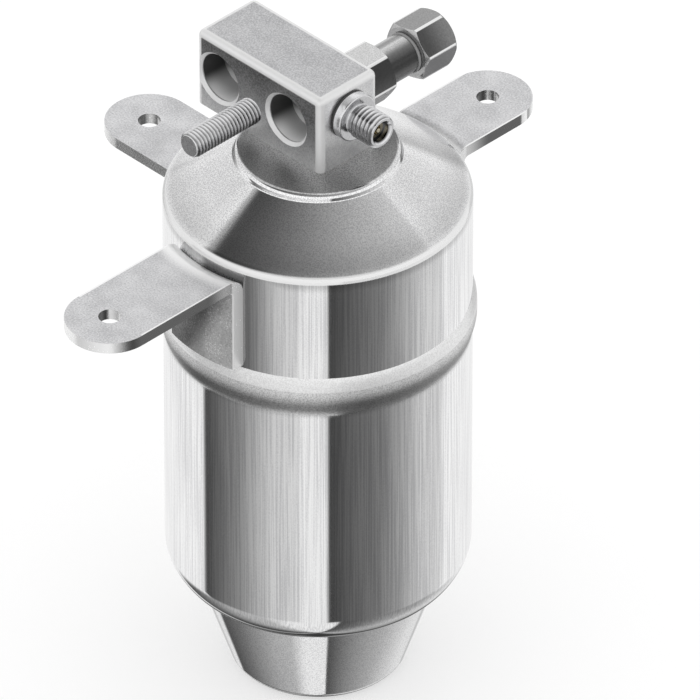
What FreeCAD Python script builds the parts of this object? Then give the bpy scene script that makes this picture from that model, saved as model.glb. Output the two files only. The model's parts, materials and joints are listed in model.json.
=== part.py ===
# Filter drier (receiver drier) of a vehicle air-conditioning circuit, in millimetres.
# Frame: +Z up, origin on the can's axis at the flat foot of the sump, which the drier stands on.
# The two refrigerant ports and the clamp stud face -Y, the switch nipple faces +X and the
# service valve faces +Y. The bracket tabs reach out to -Y, -X and +Y.

import FreeCAD, Part
import math
import os

V = FreeCAD.Vector
UP = V(0, 0, 1)

# Pressed steel can: a lower and an upper shell, lapped and welded
CAN_R = 44.5
WALL = 1.2
LAP_GAP = 0.05
SUMP_FOOT_R = 25.4
SUMP_CORNER_R = 5.0
SUMP_TOP_R = 36.0
SUMP_HEIGHT = 32.4
THROAT_R = 1.0
SHOULDER_SLOPE = 20.0
KNUCKLE_R = 12.0
BELL_TOP_Z = 127.0
BELL_LENGTH = 3.8
BELL_FLARE_RISE = 4.5
BELL_BLEND_R = 7.0
LAP_LENGTH = 3.4
WELD_RISE = 4.3
WELD_CROWN_R = 7.9
RIM_Z = 165.6
RIM_EDGE_R = 2.2
COLLAR_R = 24.3
COLLAR_STEP = 2.2
COLLAR_EDGE_R = 1.8
COLLAR_FOOT_R = 0.6
CAN_TOP_Z = 181.0

# Machined connector block on top of the can
BLOCK_LENGTH = 50.5
BLOCK_DEPTH = 23.0
BLOCK_HEIGHT = 25.4
BLOCK_RIGHT_X = 10.6
BLOCK_FRONT_Y = -9.4
BLOCK_EDGE_R = 2.0
BOSS_R = 11.0
BOSS_X = -8.6
BOSS_FIT = 0.05

# Refrigerant ports in the block's front face
PORT_ABOVE_BASE = 12.3
OUTLET_X = -3.4
PORT_SPACING = 27.6
PORT_SEAT_R = 7.5
PORT_SEAT_DEPTH = 9.5
PORT_CHAMFER = 1.0
PORT_THROAT_R = 6.2
PORT_THROAT_DEPTH = 13.0
PASSAGE_R = 4.5
PASSAGE_DEPTH = 15.5
CROSS_R = 3.5
CROSS_DEPTH = 16.4
DROP_R = 3.0
DROP_X = -14.0
PLUG_LENGTH = 5.0
PLUG_INSET = 0.5

# Clamp stud between the ports
STUD_R = 4.0
STUD_LENGTH = 35.8
STUD_SET_DEPTH = 11.0
STUD_TO_OUTLET = 14.1
STUD_BELOW_PORTS = 4.0
STUD_CHAMFER = 0.8
STUD_NECK_R = 3.4
STUD_NECK_LENGTH = 1.2

# Valve core, alike in the switch nipple and the service valve
CORE_R = 2.6
CORE_RECESS = 2.5
CORE_LENGTH = 7.0
CORE_WEB = 1.0
BARREL_BORE_R = 1.6
PIN_R = 0.75
PIN_GAP = 0.15
PIN_RECESS = 1.5
PIN_TIP_R = 0.25
PIN_COLLAR_R = 1.4
PIN_COLLAR_LENGTH = 0.8
PIN_COLLAR_RECESS = 4.0
PIN_TRAVEL = 1.5
POPPET_R = 2.2
POPPET_LENGTH = 1.2
CORE_SEAL_LENGTH = 0.7
CORE_SPRING_WIRE_R = 0.2
CORE_SPRING_R = 1.2
CORE_SPRING_TURNS = 4
CORE_SPRING_SEAT_GAP = 0.02
CORE_ROOM = 0.8
MOUTH_R = 3.1
MOUTH_CHAMFER = 0.7
FITTING_DRILL_R = 1.6
DRILL_OVERRUN = 1.0

# Switch nipple in the block's right face
NIPPLE_ABOVE_BASE = 16.0
NIPPLE_TAIL_R = 4.5
NIPPLE_TAIL_LENGTH = 5.0
NIPPLE_FLANGE_R = 7.3
NIPPLE_FLANGE_LENGTH = 2.7
NIPPLE_FLANGE_EDGE = 0.5
NIPPLE_NECK_R = 4.5
NIPPLE_NECK_LENGTH = 1.3
NIPPLE_THREAD_R = 5.15
NIPPLE_THREAD_LENGTH = 8.6
NIPPLE_CHAMFER = 0.7
WASHER_THICKNESS = 0.9
SOCKET_SPARE = 0.5

# Service valve in the block's rear face, with its screw cap
VALVE_ABOVE_BASE = 11.6
VALVE_TAIL_R = 4.5
VALVE_TAIL_LENGTH = 6.0
VALVE_HEX_FLATS = 16.0
VALVE_HEX_LENGTH = 12.3
VALVE_HEX_TURN = 4.0
VALVE_NECK_R = 6.2
VALVE_NECK_LENGTH = 11.0
VALVE_THREAD_R = 5.0
VALVE_THREAD_LENGTH = 9.6
HEX_CHAMFER_ANGLE = 30.0
HEX_CROWN_INSET = 0.24
CAP_GASKET_THICKNESS = 1.0
CAP_GASKET_R = 6.4
CAP_HEX_FLATS = 16.0
CAP_LENGTH = 12.7
CAP_TURN = -11.0
CAP_THREAD_GAP = 0.15
CAP_END_GAP = 0.6
CAP_MOUTH_R = 5.8
CAP_MOUTH_DEPTH = 1.0

# Spot-welded steel brackets, each a tab with a leg rolled to the can
BRACKET_WIDTH = 26.0
BRACKET_THICKNESS = 3.5
BRACKET_HOLE_R = 3.3
BRACKET_OUTER_BEND_R = 5.0
BRACKET_INNER_BEND_R = 1.5
BRACKET_EDGE_R = 0.5
BRACKET_ROOT_LENGTH = 12.0
BRACKET_FOOT_GAP = 0.9
FRONT_TOP_Z = 163.5
FRONT_REACH = 82.5
LEFT_TOP_Z = 154.0
LEFT_REACH = 69.5
REAR_TOP_Z = 163.5
REAR_REACH = 68.5

# Inside the can: pickup tube, strainer and the desiccant pack
TUBE_R = 4.0
TUBE_WALL = 1.0
TUBE_Y = 3.0
TUBE_SOCKET_DEPTH = 5.0
TUBE_FOOT_Z = 8.0
TUBE_SEAL_R = 5.2
TUBE_SEAL_LENGTH = 2.0
TUBE_SEAL_INSET = 1.5
TUBE_GAP = 0.3
STRAINER_R = 8.0
STRAINER_WALL = 0.6
STRAINER_HEIGHT = 13.0
STRAINER_FOOT_Z = 4.0
STRAINER_HOLE_R = 0.8
STRAINER_ROWS = 4
STRAINER_HOLES_PER_ROW = 12
PACK_GAP = 1.0
PLATE_THICKNESS = 1.5
PLATE_HOLE_R = 1.5
PLATE_RING_STEP = 8.0
PLATE_FIRST_RING_R = 13.0
PLATE_RING_COUNT = 4
PLATE_FIRST_RING_HOLES = 8
PLATE_MORE_HOLES = 6
PAD_THICKNESS = 6.0
DESICCANT_HEIGHT = 90.0
PACK_SPRING_R = 17.0
PACK_SPRING_WIRE_R = 1.25
PACK_SPRING_TURNS = 5
PACK_SPRING_SEAT_GAP = 0.02

# Places that follow from the sizes above
BLOCK_BASE_Z = CAN_TOP_Z
BLOCK_LEFT_X = BLOCK_RIGHT_X - BLOCK_LENGTH
BLOCK_REAR_Y = BLOCK_FRONT_Y + BLOCK_DEPTH
BOSS_Y = BLOCK_FRONT_Y + BLOCK_DEPTH / 2
BELL_R = CAN_R + WALL + LAP_GAP
CAN_CEILING_Z = CAN_TOP_Z - WALL
PORT_Z = BLOCK_BASE_Z + PORT_ABOVE_BASE
INLET_X = OUTLET_X - PORT_SPACING
CROSS_Y = BLOCK_FRONT_Y + CROSS_DEPTH
STUD_X = OUTLET_X - STUD_TO_OUTLET
STUD_Z = PORT_Z - STUD_BELOW_PORTS
NIPPLE_BASE = V(BLOCK_RIGHT_X, BOSS_Y, BLOCK_BASE_Z + NIPPLE_ABOVE_BASE)
VALVE_BASE = V(OUTLET_X, BLOCK_REAR_Y, BLOCK_BASE_Z + VALVE_ABOVE_BASE)
NIPPLE_THREAD_FOOT = WASHER_THICKNESS + NIPPLE_FLANGE_LENGTH + NIPPLE_NECK_LENGTH
NIPPLE_END = NIPPLE_THREAD_FOOT + NIPPLE_THREAD_LENGTH
VALVE_NECK_FOOT = WASHER_THICKNESS + VALVE_HEX_LENGTH
VALVE_NECK_END = VALVE_NECK_FOOT + VALVE_NECK_LENGTH
VALVE_END = VALVE_NECK_END + VALVE_THREAD_LENGTH
CAP_FOOT = VALVE_NECK_END + CAP_GASKET_THICKNESS
SHOULDER_RISE = math.tan(math.radians(SHOULDER_SLOPE))
KNUCKLE_CORNER_Z = SUMP_HEIGHT + (CAN_R - SUMP_TOP_R) * SHOULDER_RISE
KNUCKLE_SETBACK = KNUCKLE_R * math.tan(math.radians(90 - SHOULDER_SLOPE) / 2)
KNUCKLE_CENTRE_Z = KNUCKLE_CORNER_Z + KNUCKLE_SETBACK
PACK_R = CAN_R - WALL - PACK_GAP
PACK_OVERHANG = PACK_R - (CAN_R - KNUCKLE_R)
LOWER_PLATE_Z = KNUCKLE_CENTRE_Z - math.sqrt((KNUCKLE_R - WALL) ** 2 - PACK_OVERHANG ** 2)
LOWER_PAD_Z = LOWER_PLATE_Z + PLATE_THICKNESS
DESICCANT_Z = LOWER_PAD_Z + PAD_THICKNESS
UPPER_PAD_Z = DESICCANT_Z + DESICCANT_HEIGHT
UPPER_PLATE_Z = UPPER_PAD_Z + PAD_THICKNESS
PACK_TOP_Z = UPPER_PLATE_Z + PLATE_THICKNESS
BELL_FULL_Z = BELL_TOP_Z - BELL_LENGTH
BELL_START_Z = BELL_FULL_Z - BELL_FLARE_RISE
UPPER_SHELL_FOOT_Z = BELL_TOP_Z - LAP_LENGTH
WELD_TOP_Z = BELL_TOP_Z + WELD_RISE
BRACKET_FOOT_Z = WELD_TOP_Z + BRACKET_FOOT_GAP


# Helpers for turned profiles, bores and placing

def rounded_loop(corners):
    """Closed wire in the XZ plane through (radius, height, rounding) corners."""
    count = len(corners)
    ends = []
    for index, (x, z, rounding) in enumerate(corners):
        here = V(x, 0, z)
        before = V(corners[index - 1][0], 0, corners[index - 1][1])
        after = V(corners[(index + 1) % count][0], 0, corners[(index + 1) % count][1])
        back = (before - here).normalize()
        ahead = (after - here).normalize()
        if rounding <= 0:
            ends.append((here, None, here))
            continue
        half = back.getAngle(ahead) / 2
        setback = rounding / math.tan(half)
        middle = here + (back + ahead).normalize() * (rounding / math.sin(half) - rounding)
        ends.append((here + back * setback, middle, here + ahead * setback))
    edges = []
    for index, (start, middle, finish) in enumerate(ends):
        if middle is not None:
            edges.append(Part.Arc(start, middle, finish).toShape())
        next_start = ends[(index + 1) % count][0]
        if (next_start - finish).Length > 1e-6:
            edges.append(Part.LineSegment(finish, next_start).toShape())
    return Part.Wire(edges)


def turned(corners):
    """Solid of revolution about Z of a closed profile of (radius, height, rounding) corners."""
    return Part.Face(rounded_loop(corners)).revolve(V(0, 0, 0), UP, 360)


def inset(path, depth):
    """The open path moved to its left by depth, with every rounding about the same centre."""
    lines = []
    for (x0, z0, _), (x1, z1, _) in zip(path, path[1:]):
        length = math.hypot(x1 - x0, z1 - z0)
        dx = (x1 - x0) / length
        dz = (z1 - z0) / length
        lines.append((x0 - dz * depth, z0 + dx * depth, dx, dz, length))
    moved = [(lines[0][0], lines[0][1], 0)]
    for (x0, z0, dx0, dz0, _), (x1, z1, dx1, dz1, _), corner in zip(lines, lines[1:], path[1:]):
        turn = dx0 * dz1 - dz0 * dx1
        along = ((x1 - x0) * dz1 - (z1 - z0) * dx1) / turn
        rounding = corner[2] - depth if turn > 0 else corner[2] + depth
        moved.append((x0 + dx0 * along, z0 + dz0 * along, max(rounding, 0)))
    x, z, dx, dz, length = lines[-1]
    moved.append((x + dx * length, z + dz * length, 0))
    return moved


def shell(path, wall):
    """Turned sheet of even wall whose outer side follows the path, inside on its left."""
    return turned(path + inset(path, wall)[::-1])


def rod(radius, start, length, direction):
    return Part.makeCylinder(radius, length, start, direction)


def ring(outer_r, inner_r, low_z, high_z):
    tube = Part.makeCylinder(outer_r, high_z - low_z, V(0, 0, low_z))
    return tube.cut(Part.makeCylinder(inner_r, high_z - low_z, V(0, 0, low_z)))


def cut_all(shape, cutters):
    for cutter in cutters:
        shape = shape.cut(cutter)
    return shape


def fuse_all(shapes):
    return shapes[0].fuse(shapes[1:])


def stand_on(shape, base, direction):
    """The shape, made along +Z from the origin, moved to base and turned to face direction."""
    moved = shape.copy()
    turn = FreeCAD.Placement(base, FreeCAD.Rotation(UP, direction))
    moved.Placement = turn.multiply(shape.Placement)
    return moved


def hex_bar(flats, low_z, high_z, turn, chamfer_low, chamfer_high):
    """Hexagonal bar along Z whose corners are turned off at the ends that ask for it."""
    corner_r = flats / math.sqrt(3)
    points = []
    for index in range(7):
        angle = math.radians(turn + 60 * index)
        points.append(V(corner_r * math.cos(angle), corner_r * math.sin(angle), low_z))
    bar = Part.Face(Part.makePolygon(points)).extrude(V(0, 0, high_z - low_z))
    face_r = flats / 2 - HEX_CROWN_INSET
    fall = (corner_r - face_r) * math.tan(math.radians(HEX_CHAMFER_ANGLE))
    profile = [(0, low_z, 0)]
    if chamfer_low:
        profile += [(face_r, low_z, 0), (corner_r, low_z + fall, 0)]
    else:
        profile += [(corner_r, low_z, 0)]
    if chamfer_high:
        profile += [(corner_r, high_z - fall, 0), (face_r, high_z, 0)]
    else:
        profile += [(corner_r, high_z, 0)]
    profile += [(0, high_z, 0)]
    return bar.common(turned(profile))


def coil(radius, wire_r, low_z, high_z, turns):
    """Helical spring of round wire between two heights, measured over the wire."""
    climb = high_z - low_z - 2 * wire_r
    pitch = climb / turns
    path = Part.Wire(Part.makeHelix(pitch, climb, radius).Edges)
    section = Part.Circle(V(radius, 0, 0), V(0, 2 * math.pi * radius, pitch), wire_r)
    spring = path.makePipeShell([Part.Wire([section.toShape()])], True, True)
    spring.translate(V(0, 0, low_z + wire_r))
    return spring


# Can shells

def make_lower_shell():
    path = [
        (0, 0, 0),
        (SUMP_FOOT_R, 0, SUMP_CORNER_R),
        (SUMP_TOP_R, SUMP_HEIGHT, THROAT_R),
        (CAN_R, KNUCKLE_CORNER_Z, KNUCKLE_R),
        (CAN_R, BELL_START_Z, BELL_BLEND_R),
        (BELL_R, BELL_FULL_Z, BELL_BLEND_R),
        (BELL_R, BELL_TOP_Z, 0),
    ]
    return shell(path, WALL)


def make_upper_shell():
    path = [
        (CAN_R, UPPER_SHELL_FOOT_Z, 0),
        (CAN_R, RIM_Z, RIM_EDGE_R),
        (COLLAR_R, CAN_TOP_Z - COLLAR_STEP, COLLAR_FOOT_R),
        (COLLAR_R, CAN_TOP_Z, COLLAR_EDGE_R),
        (0, CAN_TOP_Z, 0),
    ]
    boss_hole = rod(BOSS_R + BOSS_FIT, V(BOSS_X, BOSS_Y, CAN_TOP_Z - 2 * WALL), 3 * WALL, UP)
    return shell(path, WALL).cut(boss_hole)


def make_seam_weld():
    """Crowned fillet that runs on from the bell's side and closes in on the upper shell."""
    step = BELL_R - CAN_R
    crown_z = BELL_TOP_Z + (WELD_RISE ** 2 + step ** 2) / (2 * WELD_RISE)
    return turned([
        (CAN_R, BELL_TOP_Z, 0),
        (BELL_R, BELL_TOP_Z, 0),
        (BELL_R, crown_z, WELD_CROWN_R),
        (CAN_R, WELD_TOP_Z, 0),
    ])


# Connector block with its drilled passages

def port_cutter(port_x):
    mouth_r = PORT_SEAT_R + PORT_CHAMFER
    cutter = turned([
        (0, 0, 0),
        (mouth_r, 0, 0),
        (PORT_SEAT_R, PORT_CHAMFER, 0),
        (PORT_SEAT_R, PORT_SEAT_DEPTH, 0),
        (PORT_THROAT_R, PORT_SEAT_DEPTH + PORT_SEAT_R - PORT_THROAT_R, 0),
        (PORT_THROAT_R, PORT_THROAT_DEPTH, 0),
        (PASSAGE_R, PORT_THROAT_DEPTH, 0),
        (PASSAGE_R, PASSAGE_DEPTH, 0),
        (0, PASSAGE_DEPTH, 0),
    ])
    return stand_on(cutter, V(port_x, BLOCK_FRONT_Y, PORT_Z), V(0, 1, 0))


def make_connector_block():
    corner = V(BLOCK_LEFT_X, BLOCK_FRONT_Y, BLOCK_BASE_Z)
    block = Part.makeBox(BLOCK_LENGTH, BLOCK_DEPTH, BLOCK_HEIGHT, corner)
    rounded = [edge for edge in block.Edges if edge.BoundBox.ZMax > BLOCK_BASE_Z + BLOCK_EDGE_R]
    block = block.makeFillet(BLOCK_EDGE_R, rounded)
    boss = rod(BOSS_R, V(BOSS_X, BOSS_Y, CAN_CEILING_Z), WALL, UP)
    block = block.fuse(boss)
    tube_top_z = CAN_CEILING_Z + TUBE_SOCKET_DEPTH
    seal_z = CAN_CEILING_Z + TUBE_SEAL_INSET
    cross_length = DROP_X + CROSS_R - BLOCK_LEFT_X
    nipple_depth = NIPPLE_TAIL_LENGTH + SOCKET_SPARE
    nipple_reach = BLOCK_RIGHT_X - OUTLET_X
    valve_depth = VALVE_TAIL_LENGTH + SOCKET_SPARE
    valve_reach = BLOCK_DEPTH - PASSAGE_DEPTH + DRILL_OVERRUN
    return cut_all(block, [
        port_cutter(OUTLET_X),
        port_cutter(INLET_X),
        rod(STUD_R, V(STUD_X, BLOCK_FRONT_Y, STUD_Z), STUD_SET_DEPTH, V(0, 1, 0)),
        rod(CROSS_R, V(BLOCK_LEFT_X, CROSS_Y, PORT_Z), cross_length, V(1, 0, 0)),
        rod(DROP_R, V(DROP_X, CROSS_Y, CAN_CEILING_Z), PORT_Z - CAN_CEILING_Z, UP),
        rod(TUBE_R, V(OUTLET_X, TUBE_Y, CAN_CEILING_Z), TUBE_SOCKET_DEPTH, UP),
        rod(TUBE_SEAL_R, V(OUTLET_X, TUBE_Y, seal_z), TUBE_SEAL_LENGTH, UP),
        rod(TUBE_R - TUBE_WALL, V(OUTLET_X, TUBE_Y, tube_top_z), PORT_Z - tube_top_z, UP),
        rod(NIPPLE_TAIL_R, NIPPLE_BASE, nipple_depth, V(-1, 0, 0)),
        rod(FITTING_DRILL_R, NIPPLE_BASE, nipple_reach, V(-1, 0, 0)),
        rod(VALVE_TAIL_R, VALVE_BASE, valve_depth, V(0, -1, 0)),
        rod(FITTING_DRILL_R, VALVE_BASE, valve_reach, V(0, -1, 0)),
    ])


def make_passage_plug():
    return rod(CROSS_R, V(BLOCK_LEFT_X + PLUG_INSET, CROSS_Y, PORT_Z), PLUG_LENGTH, V(1, 0, 0))


def make_clamp_stud():
    set_end = -STUD_SET_DEPTH
    free_end = STUD_LENGTH - STUD_SET_DEPTH
    stud = turned([
        (0, set_end, 0),
        (STUD_R - STUD_CHAMFER, set_end, 0),
        (STUD_R, set_end + STUD_CHAMFER, 0),
        (STUD_R, -STUD_NECK_LENGTH, 0),
        (STUD_NECK_R, -STUD_NECK_LENGTH, 0),
        (STUD_NECK_R, 0, 0),
        (STUD_R, 0, 0),
        (STUD_R, free_end - STUD_CHAMFER, 0),
        (STUD_R - STUD_CHAMFER, free_end, 0),
        (0, free_end, 0),
    ])
    return stand_on(stud, V(STUD_X, BLOCK_FRONT_Y, STUD_Z), V(0, -1, 0))


# Spring-loaded valve core, built along +Z with its fitting's open end at end_z

def core_bore(end_z, foot_z):
    """Stepped hole through a fitting: mouth, core seat and drilling down to foot_z."""
    room_z = end_z - CORE_RECESS - CORE_LENGTH - CORE_SEAL_LENGTH - POPPET_LENGTH
    room_z -= PIN_TRAVEL + CORE_ROOM
    return turned([
        (0, foot_z, 0),
        (FITTING_DRILL_R, foot_z, 0),
        (FITTING_DRILL_R, room_z, 0),
        (CORE_R, room_z, 0),
        (CORE_R, end_z - CORE_RECESS, 0),
        (MOUTH_R, end_z - CORE_RECESS, 0),
        (MOUTH_R, end_z - MOUTH_CHAMFER, 0),
        (MOUTH_R + MOUTH_CHAMFER, end_z, 0),
        (0, end_z, 0),
    ])


def make_valve_core(name, end_z, base, direction):
    """Barrel, sliding pin, its seal and its spring, as named solids."""
    barrel_top = end_z - CORE_RECESS
    barrel_foot = barrel_top - CORE_LENGTH
    seal_foot = barrel_foot - CORE_SEAL_LENGTH
    poppet_foot = seal_foot - POPPET_LENGTH
    collar_top = end_z - PIN_COLLAR_RECESS
    collar_foot = collar_top - PIN_COLLAR_LENGTH
    web_top = barrel_foot + CORE_WEB
    barrel = turned([
        (PIN_R + PIN_GAP, barrel_foot, 0),
        (CORE_R, barrel_foot, 0),
        (CORE_R, barrel_top, 0),
        (BARREL_BORE_R, barrel_top, 0),
        (BARREL_BORE_R, web_top, 0),
        (PIN_R + PIN_GAP, web_top, 0),
    ])
    pin = turned([
        (0, poppet_foot, 0),
        (POPPET_R, poppet_foot, 0),
        (POPPET_R, seal_foot, 0),
        (PIN_R, seal_foot, 0),
        (PIN_R, collar_foot, 0),
        (PIN_COLLAR_R, collar_foot, 0),
        (PIN_COLLAR_R, collar_top, 0),
        (PIN_R, collar_top, 0),
        (PIN_R, end_z - PIN_RECESS, PIN_TIP_R),
        (0, end_z - PIN_RECESS, 0),
    ])
    seal = ring(POPPET_R, PIN_R, seal_foot, barrel_foot)
    spring = coil(CORE_SPRING_R, CORE_SPRING_WIRE_R, web_top + CORE_SPRING_SEAT_GAP,
                  collar_foot - CORE_SPRING_SEAT_GAP, CORE_SPRING_TURNS)
    pieces = {"core_barrel": barrel, "core_pin": pin, "core_seal": seal, "core_spring": spring}
    return {f"{name}_{part}": stand_on(solid, base, direction) for part, solid in pieces.items()}


# Switch nipple

def make_switch_nipple():
    flange_top = WASHER_THICKNESS + NIPPLE_FLANGE_LENGTH
    body = turned([
        (0, -NIPPLE_TAIL_LENGTH, 0),
        (NIPPLE_TAIL_R, -NIPPLE_TAIL_LENGTH, 0),
        (NIPPLE_TAIL_R, WASHER_THICKNESS, 0),
        (NIPPLE_FLANGE_R, WASHER_THICKNESS, 0),
        (NIPPLE_FLANGE_R, flange_top, NIPPLE_FLANGE_EDGE),
        (NIPPLE_NECK_R, flange_top, 0),
        (NIPPLE_NECK_R, NIPPLE_THREAD_FOOT, 0),
        (NIPPLE_THREAD_R, NIPPLE_THREAD_FOOT, 0),
        (NIPPLE_THREAD_R, NIPPLE_END - NIPPLE_CHAMFER, 0),
        (NIPPLE_THREAD_R - NIPPLE_CHAMFER, NIPPLE_END, 0),
        (0, NIPPLE_END, 0),
    ])
    body = body.cut(core_bore(NIPPLE_END, -NIPPLE_TAIL_LENGTH))
    return stand_on(body, NIPPLE_BASE, V(1, 0, 0))


def make_switch_washer():
    washer = ring(NIPPLE_FLANGE_R, NIPPLE_TAIL_R, 0, WASHER_THICKNESS)
    return stand_on(washer, NIPPLE_BASE, V(1, 0, 0))


# Service valve and its cap

def make_service_valve():
    tail = rod(VALVE_TAIL_R, V(0, 0, -VALVE_TAIL_LENGTH), VALVE_TAIL_LENGTH + WASHER_THICKNESS, UP)
    base = hex_bar(VALVE_HEX_FLATS, WASHER_THICKNESS, VALVE_NECK_FOOT, VALVE_HEX_TURN, False, True)
    neck = rod(VALVE_NECK_R, V(0, 0, VALVE_NECK_FOOT), VALVE_NECK_LENGTH, UP)
    thread = turned([
        (0, VALVE_NECK_END, 0),
        (VALVE_THREAD_R, VALVE_NECK_END, 0),
        (VALVE_THREAD_R, VALVE_END - NIPPLE_CHAMFER, 0),
        (VALVE_THREAD_R - NIPPLE_CHAMFER, VALVE_END, 0),
        (0, VALVE_END, 0),
    ])
    body = fuse_all([base, tail, neck, thread])
    body = body.cut(core_bore(VALVE_END, -VALVE_TAIL_LENGTH)).removeSplitter()
    return stand_on(body, VALVE_BASE, V(0, 1, 0))


def make_service_washer():
    washer = ring(VALVE_HEX_FLATS / 2, VALVE_TAIL_R, 0, WASHER_THICKNESS)
    return stand_on(washer, VALVE_BASE, V(0, 1, 0))


def make_cap_gasket():
    gasket = ring(CAP_GASKET_R, VALVE_THREAD_R + CAP_THREAD_GAP, VALVE_NECK_END, CAP_FOOT)
    return stand_on(gasket, VALVE_BASE, V(0, 1, 0))


def make_service_cap():
    bore_r = VALVE_THREAD_R + CAP_THREAD_GAP
    hexagon = hex_bar(CAP_HEX_FLATS, CAP_FOOT, CAP_FOOT + CAP_LENGTH, CAP_TURN, True, True)
    bore_end = VALVE_END + CAP_END_GAP
    bore = turned([
        (0, CAP_FOOT, 0),
        (CAP_MOUTH_R, CAP_FOOT, 0),
        (CAP_MOUTH_R, CAP_FOOT + CAP_MOUTH_DEPTH, 0),
        (bore_r, CAP_FOOT + CAP_MOUTH_DEPTH, 0),
        (bore_r, bore_end, 0),
        (0, bore_end, 0),
    ])
    return stand_on(hexagon.cut(bore), VALVE_BASE, V(0, 1, 0))


# Brackets

def lies_on_can(edge):
    return all(abs(math.hypot(point.x, point.y) - CAN_R) < 0.01 for point in edge.discretize(5))


def make_bracket(side, angle, reach, top_z):
    """Flat tab with a rounded end and a hole, and the leg that bends down and hugs the can."""
    half = BRACKET_WIDTH / 2
    under_z = top_z - BRACKET_THICKNESS
    leg_r = CAN_R + BRACKET_THICKNESS
    root_r = CAN_R + BRACKET_ROOT_LENGTH
    plate_start = CAN_R + BRACKET_ROOT_LENGTH / 2
    split_x = leg_r + BRACKET_INNER_BEND_R
    bend = turned([
        (CAN_R, BRACKET_FOOT_Z, 0),
        (leg_r, BRACKET_FOOT_Z, 0),
        (leg_r, under_z, BRACKET_INNER_BEND_R),
        (root_r, under_z, 0),
        (root_r, top_z, 0),
        (CAN_R, top_z, BRACKET_OUTER_BEND_R),
    ])
    strip = Part.makeBox(root_r, BRACKET_WIDTH, top_z - BRACKET_FOOT_Z, V(0, -half, BRACKET_FOOT_Z))
    plate_size = (reach - plate_start, BRACKET_WIDTH, BRACKET_THICKNESS)
    plate = Part.makeBox(*plate_size, V(plate_start, -half, under_z))
    tip = Part.makeCylinder(half, BRACKET_THICKNESS, V(reach, 0, under_z))
    hole = Part.makeCylinder(BRACKET_HOLE_R, BRACKET_THICKNESS, V(reach, 0, under_z))
    bracket = fuse_all([bend.common(strip), plate, tip]).removeSplitter()
    free_edges = [edge for edge in bracket.Edges if not lies_on_can(edge)]
    bracket = bracket.makeFillet(BRACKET_EDGE_R, free_edges).cut(hole)
    near = Part.makeBox(split_x, BRACKET_WIDTH, top_z - BRACKET_FOOT_Z, V(0, -half, BRACKET_FOOT_Z))
    halves = {f"{side}_bracket_tab": bracket.cut(near), f"{side}_bracket_leg": bracket.common(near)}
    for half_shape in halves.values():
        half_shape.rotate(V(0, 0, 0), UP, angle)
    return halves


# Inside the can

def make_pickup_tube():
    top_z = CAN_CEILING_Z + TUBE_SOCKET_DEPTH
    tube = ring(TUBE_R, TUBE_R - TUBE_WALL, TUBE_FOOT_Z, top_z)
    tube.translate(V(OUTLET_X, TUBE_Y, 0))
    return tube


def make_tube_seal():
    low_z = CAN_CEILING_Z + TUBE_SEAL_INSET
    seal = ring(TUBE_SEAL_R, TUBE_R, low_z, low_z + TUBE_SEAL_LENGTH)
    seal.translate(V(OUTLET_X, TUBE_Y, 0))
    return seal


def make_tube_strainer():
    top_z = STRAINER_FOOT_Z + STRAINER_HEIGHT
    basket = turned([
        (0, STRAINER_FOOT_Z, 0),
        (STRAINER_R, STRAINER_FOOT_Z, 0),
        (STRAINER_R, top_z, 0),
        (TUBE_R, top_z, 0),
        (TUBE_R, top_z - STRAINER_WALL, 0),
        (STRAINER_R - STRAINER_WALL, top_z - STRAINER_WALL, 0),
        (STRAINER_R - STRAINER_WALL, STRAINER_FOOT_Z + STRAINER_WALL, 0),
        (0, STRAINER_FOOT_Z + STRAINER_WALL, 0),
    ])
    row_step = STRAINER_HEIGHT / (STRAINER_ROWS + 1)
    drill_start_r = STRAINER_R - 2 * STRAINER_WALL
    drill_length = 3 * STRAINER_WALL
    holes = []
    for row in range(STRAINER_ROWS):
        for index in range(STRAINER_HOLES_PER_ROW):
            angle = 2 * math.pi * (index + row % 2 / 2) / STRAINER_HOLES_PER_ROW
            way = V(math.cos(angle), math.sin(angle), 0)
            start = V(0, 0, STRAINER_FOOT_Z + row_step * (row + 1)) + way * drill_start_r
            holes.append(rod(STRAINER_HOLE_R, start, drill_length, way))
    basket = basket.cut(Part.makeCompound(holes))
    basket.translate(V(OUTLET_X, TUBE_Y, 0))
    return basket


def pack_disc(low_z, thickness):
    """Disc as wide as the pack, with a running hole for the pickup tube."""
    disc = Part.makeCylinder(PACK_R, thickness, V(0, 0, low_z))
    return disc.cut(rod(TUBE_R + TUBE_GAP, V(OUTLET_X, TUBE_Y, low_z), thickness, UP))


def make_plate(low_z):
    """Perforated steel plate that holds one end of the desiccant pack."""
    holes = []
    for ring_index in range(PLATE_RING_COUNT):
        ring_r = PLATE_FIRST_RING_R + PLATE_RING_STEP * ring_index
        hole_count = PLATE_FIRST_RING_HOLES + PLATE_MORE_HOLES * ring_index
        for index in range(hole_count):
            angle = 2 * math.pi * index / hole_count
            centre = V(ring_r * math.cos(angle), ring_r * math.sin(angle), low_z)
            holes.append(rod(PLATE_HOLE_R, centre, PLATE_THICKNESS, UP))
    return pack_disc(low_z, PLATE_THICKNESS).cut(Part.makeCompound(holes))


# The whole drier

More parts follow.
